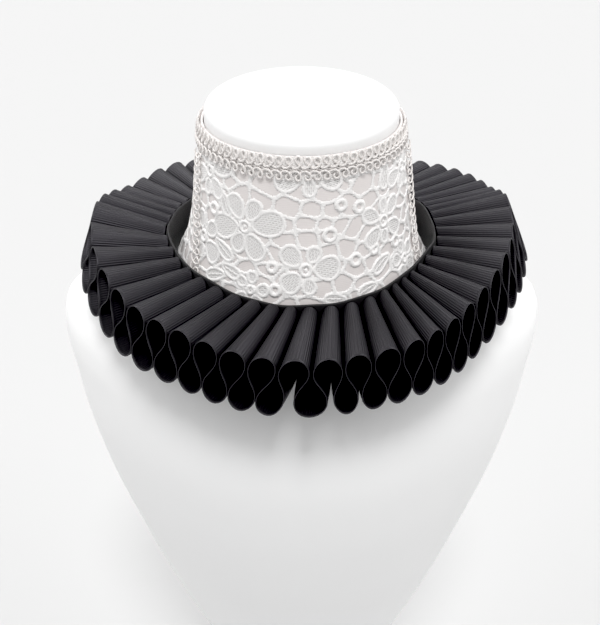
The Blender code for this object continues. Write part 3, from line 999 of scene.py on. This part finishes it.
class Lace:
    """The lace over a grid of points: where thread covers it and how high it stands."""

    def __init__(self, azimuth, height):
        mean = collar_width(LACE_LEVEL)
        self.azimuth = azimuth
        self.height = height
        self.half_width = level(COLLAR_SECTIONS, COLLAR_COLUMNS, height)[0]
        x = np.radians(azimuth - COLLAR_TURN) * mean
        self.knot = knots(x, height)
        net = net_distance(x, height, mean)
        self.cover = BAR_HALF - net
        self.relief = BAR_RISE * round_top(net, BAR_HALF + KNOT_SWELL / 2)
        self.fill = np.zeros_like(net)
        self.across = np.zeros_like(net)
        self.lengthwise = np.zeros_like(net)

    def near(self, azimuth, height):
        """Metres round the collar and up it from a motif's middle."""
        away = (self.azimuth - COLLAR_TURN - azimuth + 180) % 360 - 180
        return np.radians(away) * self.half_width, self.height - height

    def outline(self, distance, along, across):
        """A corded outline at distance 0, with darned filling inside it."""
        inside = distance < 0
        cord = CORD_RISE * round_top(distance, CORD_HALF)
        filled = inside & (cord < FILL_RISE)
        self.relief = np.where(inside, np.maximum(cord, FILL_RISE), np.maximum(self.relief, cord))
        self.cover = np.maximum(self.cover, CORD_HALF - distance)
        shown = (inside | (cord > 0)) & (CORD_HALF - distance > 0)
        self.fill = np.where(shown, filled.astype(float), self.fill)
        self.across = np.where(shown, across, self.across)
        self.lengthwise = np.where(shown, along, self.lengthwise)

    def oval(self, along, across, long_half, wide_half, swell):
        """A leaf or petal: an oval that is wider towards its far end by swell."""
        wide = wide_half * np.clip(1 + swell * along / long_half, *OVAL_LIMITS)
        rho = np.hypot(along / long_half, across / wide) + 1e-9
        slope = np.hypot(along / long_half**2, across / wide**2) + 1e-9
        self.outline((rho - 1) * rho / slope, along, across)

    def ring(self, x, y, radius, half, eye):
        """A ring of thick cord round an open hole, with a knot in its middle if eye is not 0."""
        away = np.hypot(x, y)
        inside = away < radius
        cord = RING_RISE * round_top(away - radius, half)
        knot = CORD_RISE * round_top(away, eye) if eye else 0 * cord
        own = np.maximum(half - np.abs(away - radius), eye - away)
        raised = np.maximum(cord, knot)
        shown = inside | (own > 0)
        self.cover = np.where(inside, own, np.maximum(self.cover, own))
        self.relief = np.where(inside, raised, np.maximum(self.relief, raised))
        self.fill = np.where(shown, 0, self.fill)

    def flower(self, azimuth, height, reach, turn, petals, width):
        """A ring of petals round a corded ring with a knot in it."""
        x, y = self.near(azimuth, height)
        radius = min(RING_SHARE * reach, RING_LARGEST)
        start = radius + RING_HALF + PETAL_START * CORD_HALF
        for petal in range(petals):
            uneven = 1 + PETAL_UNEVEN * np.sin(2.3 * petal + turn)
            swing = PETAL_SWING * np.sin(1.9 * petal + turn)
            angle = np.radians(turn + 360 * petal / petals + swing)
            far = reach * uneven * (1 - PETAL_SQUASH * np.sin(angle) ** 2)
            long_half = (far - start) / 2
            along = x * np.cos(angle) + y * np.sin(angle) - start - long_half
            across = y * np.cos(angle) - x * np.sin(angle)
            wide_half = width * long_half * 5 / petals
            self.oval(along, across, long_half, wide_half, PETAL_SWELL)
        self.ring(x, y, radius, RING_HALF, EYE_SHARE * radius)

    def leaf(self, azimuth, height, length, width, turn):
        """A pointed leaf with a cord down its middle."""
        x, y = self.near(azimuth, height)
        angle = np.radians(turn)
        along = x * np.cos(angle) + y * np.sin(angle)
        across = y * np.cos(angle) - x * np.sin(angle) + LEAF_BEND * along**2 / length
        self.oval(along, across, length / 2, width / 2, LEAF_SWELL)
        inside = np.abs(along) < VEIN_LENGTH * length
        vein = CORD_RISE * round_top(across, VEIN_HALF * CORD_HALF) * inside
        self.relief = np.maximum(self.relief, VEIN_RISE * vein)

    def finished(self):
        """Adds the firm edge and the knots of thread, and gives every value."""
        hem = EDGE_CORD - (self.height - COLLAR_HEM)
        tape = self.height - (BRAID_TOP - BRAID_WIDTH + TAPE_INSET)
        self.cover = np.maximum(self.cover, np.maximum(hem, tape))
        firm = np.maximum(self.relief, TAPE_RISE)
        self.relief = np.where(np.maximum(hem, tape) > 0, firm, self.relief)
        cover = self.cover + KNOT_SWELL * (self.knot - 0.5) * (self.fill < 0.5)
        relief = self.relief + KNOT_RISE * self.knot * (1 - FILL_SMOOTHING * self.fill)
        return cover, relief, {
            "fill": self.fill,
            "across": self.across,
            "lengthwise": self.lengthwise,
        }


def trimmed(cover, place, values):
    """The part of a grid of points where cover is positive, cut along its zero line."""
    rows, columns = cover.shape
    inside = cover > 0
    index = np.arange(rows * columns).reshape(rows, columns)
    points = [place.reshape(-1, 3)]
    extra = {key: [value.ravel()] for key, value in values.items()}
    cuts = []
    count = rows * columns
    for first, second in ((np.s_[:, :-1], np.s_[:, 1:]), (np.s_[:-1, :], np.s_[1:, :])):
        crossing = inside[first] != inside[second]
        number = np.full(crossing.shape, -1)
        number[crossing] = count + np.arange(crossing.sum())
        count += int(crossing.sum())
        share = (cover[first] / np.where(crossing, cover[first] - cover[second], 1))[crossing]
        start = place[first][crossing]
        end = place[second][crossing]
        points.append(start + (end - start) * share[:, None])
        for key, value in values.items():
            low = value[first][crossing]
            extra[key].append(low + (value[second][crossing] - low) * share)
        cuts.append(number)
    level_cut, upright_cut = cuts
    corners = [index[:-1, :-1], index[:-1, 1:], index[1:, 1:], index[1:, :-1]]
    filled = [inside[:-1, :-1], inside[:-1, 1:], inside[1:, 1:], inside[1:, :-1]]
    edges = [level_cut[:-1, :], upright_cut[:, 1:], level_cut[1:, :], upright_cut[:, :-1]]
    case = sum(part.astype(int) << k for k, part in enumerate(filled))
    faces = []
    for code in range(1, 16):
        chosen = case == code
        ring = []
        for k in range(4):
            if code >> k & 1:
                ring.append(corners[k][chosen])
            if (code >> k & 1) != (code >> (k + 1) % 4 & 1):
                ring.append(edges[k][chosen])
        faces.extend(np.stack(ring, axis=-1).tolist())
    used = np.zeros(count, bool)
    for face in faces:
        used[face] = True
    renumbered = (np.cumsum(used) - 1).tolist()
    faces = [[renumbered[corner] for corner in face] for face in faces]
    kept = {key: np.concatenate(value)[used] for key, value in extra.items()}
    return np.concatenate(points)[used], faces, kept


def add_lace(name, start, end, finish):
    """The lace of one panel: raised cords on the satin, cut away between them."""
    azimuth, height = panel_grid(start, end, LACE_CELL)
    lace = Lace(azimuth, height)
    for row in LEAVES:
        lace.leaf(*row)
    for row in EYELETS:
        lace.ring(*lace.near(*row[:2]), row[2], EYELET_HALF, 0)
    for row in FLOWERS:
        lace.flower(*row)
    cover, relief, values = lace.finished()
    lowered = np.sqrt(np.clip(cover / LACE_FALL, 0, 1))
    place = off_collar(azimuth, height, relief * lowered - SATIN_SINK)
    points, faces, kept = trimmed(cover, place, values)
    return add_mesh(name, points, faces, finish, kept)


def add_panel(node, start, end, satin, lace):
    """One panel of the collar: its satin ground and the lace over it."""
    ground = add_satin(node + "_satin", start, end, satin)
    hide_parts(node)
    net = add_lace(node + "_lace", start, end, lace)
    middle = (COLLAR_TOP + COLLAR_HEM) / 2
    wide = abs(np.radians(end(middle) - start(middle))) * COLLAR_MEAN_RADIUS


# -------------------------------------------------------------------- gimp


def sweep(path, out, radius):
    """Points and faces of a round cord along a path that lies on a face with normals out."""
    tangent = unit(np.gradient(path, axis=0))
    side = unit(np.cross(tangent, out))
    up = np.cross(side, tangent)
    turn = np.linspace(0, 2 * np.pi, CORD_SIDES, endpoint=False)
    ring = np.cos(turn)[None, :, None] * side[:, None] + np.sin(turn)[None, :, None] * up[:, None]
    points = path[:, None] + radius * ring
    count = len(path)
    faces = quads(count, CORD_SIDES, wrap=True).tolist()
    faces.append(list(range(CORD_SIDES)))
    last = (count - 1) * CORD_SIDES
    faces.append(list(range(last + CORD_SIDES - 1, last - 1, -1)))
    along = np.concatenate([[0.0], np.cumsum(np.linalg.norm(np.diff(path, axis=0), axis=1))])
    twist = np.repeat(along[:, None] / TWIST_PITCH, CORD_SIDES, axis=1)
    turned = np.repeat(turn[None] / (2 * np.pi), count, axis=0)
    return points.reshape(-1, 3), faces, {"twist": twist.ravel(), "round": turned.ravel()}


def curls(length, pitch, scale):
    """A cord that curls once each pitch: how far along, up and out of its base it lies."""
    count = int(round(length / pitch))
    knots_in = len(CURL)
    knot = np.arange(-1, knots_in * count + 2)
    curl = knot // knots_in
    shape = np.array(CURL)[knot % knots_in] / 1000
    uneven = 1 + CURL_UNEVEN * np.sin(2.1 * curl) * np.cos(0.7 * curl)
    middle = (curl + 0.5) * length / count
    where = np.linspace(0, knots_in * count, count * CORD_STEPS + 1)
    along = smooth(knot, middle + scale[0] * uneven * shape[:, 0], where)
    up = smooth(knot, scale[1] * (2 - uneven) * shape[:, 1], where)
    return along, up, smooth(knot, shape[:, 2], where)


def add_cords(name, cords, finish):
    """One piece made of several cords, each a path with its normals and radius."""
    points, faces, values = [], [], {}
    count = 0
    for path, out, radius in cords:
        some, ring, extra = sweep(path, out, radius)
        faces.extend([[corner + count for corner in face] for face in ring])
        points.append(some)
        count += len(some)
        for key, value in extra.items():
            values.setdefault(key, []).append(value)
    values = {key: np.concatenate(value) for key, value in values.items()}
    return add_mesh(name, np.concatenate(points), faces, finish, values)


def on_top_edge(along, up, out):
    """A point of the top braid: along the edge, above its spine and off the collar."""
    height = BRAID_TOP - BRAID_SPINE + up
    azimuth = COLLAR_TURN - 180 + np.degrees(along / collar_width(BRAID_TOP - BRAID_SPINE))
    height = np.minimum(height, COLLAR_SECTIONS[-1][0])
    return off_collar(azimuth, height, out)


def braid_cord(surface, along, up, out, radius, rest):
    """A cord's path and normals on a surface, resting on it by its own radius."""
    path = surface(along, up, out + rest)
    below = surface(along, up, out + rest - 0.001)
    return path, unit(path - below), radius


def add_top_braid(finish):
    """The gimp braid on the collar's top edge: two rows of curls that part at a spine."""
    length = 2 * np.pi * collar_width(BRAID_TOP - BRAID_SPINE) - BRAID_OPENING
    along, up, out = curls(length, BRAID_PITCH, UPPER_SCALE)
    below, down, lift = curls(length, BRAID_PITCH, LOWER_SCALE)
    stitches = int(length / BRAID_PITCH) * STITCH_STEPS
    turn = np.linspace(0, 2 * np.pi * length / BRAID_PITCH, stitches)
    cords = [
        braid_cord(on_top_edge, along, BRAID_PART + up, out, CORD_RADIUS, CORD_REST),
        braid_cord(on_top_edge, below, -BRAID_PART - down, lift, CORD_RADIUS, CORD_REST),
        braid_cord(
            on_top_edge,
            length * turn / turn[-1],
            STITCH_SWAY * np.sin(2 * turn),
            STITCH_RISE * np.cos(2 * turn),
            STITCH_RADIUS,
            STITCH_REST,
        ),
    ]
    braid = add_cords("top_gimp", cords, finish)
    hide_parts("top_braid")


def on_seam(side, along, across, out):
    """A point of a side braid: down the seam, across it and off the collar."""
    height = BRAID_TOP - BRAID_WIDTH - along
    half_width = level(COLLAR_SECTIONS, COLLAR_COLUMNS, height)[0]
    azimuth = seam_azimuth(side, height) + np.degrees(across / half_width)
    return off_collar(azimuth, height, out)


def add_side_braid(name, node, side, finish):
    """The narrow gimp braid down a side seam: one cord of round curls."""
    length = BRAID_TOP - BRAID_WIDTH - COLLAR_HEM - SIDE_HEM
    along, up, out = curls(length, SIDE_PITCH, SIDE_SCALE)
    across = side * (up.max() / 2 - up)
    out = out + SIDE_LIFT * (up.max() - up)
    cord = braid_cord(partial(on_seam, side), along, across, out, SIDE_RADIUS, CORD_REST)
    braid = add_cords(name, [cord], finish)
    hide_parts(node)


# -------------------------------------------------------------------- bust


def bust_ring(height):
    """One level of the bust, all round from the front by way of +X."""
    half_width, front, back, ridge = level(BUST_SECTIONS, BUST_COLUMNS, np.array([height]))
    turn = np.linspace(0, 2 * np.pi, BUST_SEGMENTS, endpoint=False)
    reach = np.where(np.cos(turn) > 0, front + ridge, back - ridge)
    x = half_width * np.sin(turn)
    return np.stack([x, ridge - reach * np.cos(turn), RUFF_LEVEL + height + 0 * x], axis=-1)


def add_bust(finish):
    """The limbless stand, with a rounded edge to its cap and a flat foot."""
    heights = column(BUST_SECTIONS, BUST_COLUMNS, "height")
    levels = [heights[0]]
    for start, end in zip(heights, heights[1:]):
        steps = max(2, int(round((end - start) / BUST_RING_STEP)))
        levels.extend(np.linspace(start, end, steps + 1)[1:])
    rings = [bust_ring(height) for height in levels]
    neck = rings[-1]
    lean = np.tan(np.radians(CAP_TILT))
    for turn in np.linspace(0, np.pi / 2, CAP_EDGE_STEPS + 1)[1:]:
        ring = neck.copy()
        ring[:, :2] *= 1 - CAP_EDGE * (1 - np.cos(turn)) / np.abs(neck[:, 0]).max()
        drop = CAP_EDGE * (1 - np.sin(turn))
        ring[:, 2] = RUFF_LEVEL + CAP_LEVEL - drop + lean * ring[:, 1]
        rings.append(ring)
    rim = rings[-1]
    for share in CAP_SHARES:
        ring = rim.copy()
        ring[:, :2] *= share
        ring[:, 2] = RUFF_LEVEL + CAP_LEVEL + lean * ring[:, 1]
        rings.append(ring)
    faces = quads(len(rings), BUST_SEGMENTS, wrap=True)[:, ::-1].tolist()
    faces.append(list(range(BUST_SEGMENTS - 1, -1, -1)))
    last = (len(rings) - 1) * BUST_SEGMENTS
    faces.append(list(range(last, last + BUST_SEGMENTS)))
    bust = add_mesh("bust_moulding", np.concatenate(rings), faces, finish)
    bust.data.set_sharp_from_angle(angle=np.radians(FOOT_SHARP))
    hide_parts("bust")


# ------------------------------------------------------------------- stage


def add_floor():
    """A plain pale floor out to the horizon."""
    half = FLOOR_HALF
    mesh = bpy.data.meshes.new("floor")
    corners = [(-half, -half, 0), (half, -half, 0), (half, half, 0), (-half, half, 0)]
    mesh.from_pydata(corners, [], [(0, 1, 2, 3)])
    mesh.materials.append(floor_material())
    floor = bpy.data.objects.new("floor", mesh)
    bpy.context.scene.collection.objects.link(floor)


def add_light(name, towards, spread, power):
    """A soft light from far away in this direction, spread over this many degrees."""
    data = bpy.data.lights.new(name, "SUN")
    data.angle = np.radians(spread)
    data.energy = power
    lamp = bpy.data.objects.new(name, data)
    lamp.rotation_mode = "QUATERNION"
    lamp.rotation_quaternion = (-Vector(towards)).to_track_quat("-Z", "Y")
    bpy.context.scene.collection.objects.link(lamp)


def soft_sky():
    """Even white surroundings that fill in the shadows, and look as pale as the floor."""
    world = bpy.data.worlds.new("white_surround")
    world.use_nodes = True
    tree = world.node_tree
    glow = tree.nodes["Background"]
    glow.inputs["Color"].default_value = (1.0, 1.0, 1.0, 1.0)
    glow.inputs["Strength"].default_value = SKY_LIGHT
    seen = tree.nodes.new("ShaderNodeBackground")
    seen.inputs["Color"].default_value = (1.0, 1.0, 1.0, 1.0)
    seen.inputs["Strength"].default_value = BACKDROP
    rays = tree.nodes.new("ShaderNodeLightPath")
    both = tree.nodes.new("ShaderNodeMixShader")
    tree.links.new(rays.outputs["Is Camera Ray"], both.inputs["Fac"])
    tree.links.new(glow.outputs["Background"], both.inputs[1])
    tree.links.new(seen.outputs["Background"], both.inputs[2])
    tree.links.new(both.outputs["Shader"], tree.nodes["World Output"].inputs["Surface"])
    return world


def add_stage():
    """Floor, soft lights, a white surround and the camera."""
    scene = bpy.context.scene
    add_floor()
    for name, towards, spread, power in LIGHTS:
        add_light(name, towards, spread, power)
    scene.world = soft_sky()
    view = scene.view_settings
    view.view_transform = "Standard"
    view.use_curve_mapping = True
    view.curve_mapping.black_level = (BLACK_LEVEL, BLACK_LEVEL, BLACK_LEVEL)
    view.curve_mapping.update()
    data = bpy.data.cameras.new("camera")
    data.lens = CAMERA_LENS
    data.sensor_width = SENSOR
    data.clip_start = CLIP_START
    camera = bpy.data.objects.new("camera", data)
    camera.location = CAMERA_PLACE
    camera.rotation_euler = (np.radians(CAMERA_PITCH), 0.0, 0.0)
    scene.collection.objects.link(camera)
    scene.camera = camera


right_seam = partial(seam_azimuth, 1)
left_seam = partial(seam_azimuth, -1)
right_back = partial(centre_back, 1)
left_back = partial(centre_back, -1)
satin_cloth = satin_material()
lace_cloth = lace_material()
gimp_cord = gimp_material()
add_stage()
add_bust(bust_material())
add_band(band_material())
add_frill(grosgrain_material())
add_panel("collar_front", left_seam, right_seam, satin_cloth, lace_cloth)
add_panel("collar_back_right", right_seam, right_back, satin_cloth, lace_cloth)
add_panel("collar_back_left", left_back, left_seam, satin_cloth, lace_cloth)
add_top_braid(gimp_cord)
add_side_braid("side_gimp_left", "side_braid_left", -1, gimp_cord)
add_side_braid("side_gimp_right", "side_braid_right", 1, gimp_cord)
